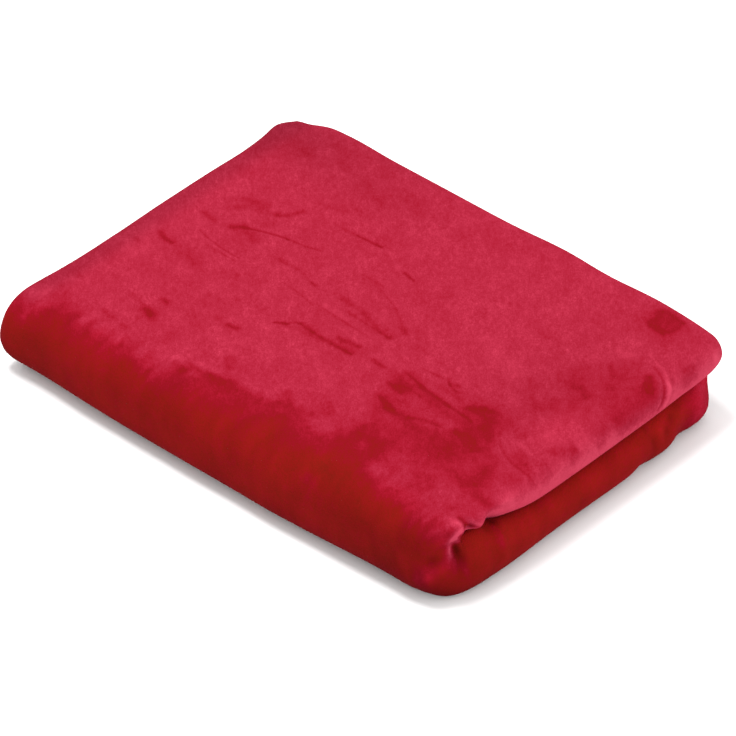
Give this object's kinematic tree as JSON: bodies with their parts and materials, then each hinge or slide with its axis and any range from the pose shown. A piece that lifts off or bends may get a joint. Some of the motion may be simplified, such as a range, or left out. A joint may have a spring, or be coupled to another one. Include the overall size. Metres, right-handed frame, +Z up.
{
  "type": "folded fleece throw blanket",
  "caption": "Soft fleece throw folded into a neat flat pack, with a long rounded fold along its front, fat rolled folds at its right end and its layers stacked along the back.",
  "frame": {"origin": "on the ground, under the middle of the folded pack's bounding box", "axes": "+X along the long rounded fold, which faces -Y; +Y towards the back, where the stacked layers show; +Z up"},
  "size_m": [0.4742, 0.352, 0.0713],
  "materials": {
    "fleece": "short dense red velvety fleece pile, pinker where the nap catches the light and deep red where it is pressed or turned away"
  },
  "bodies": {
    "root": {"throw_sheet": "fleece"}
  },
  "joints": []
}
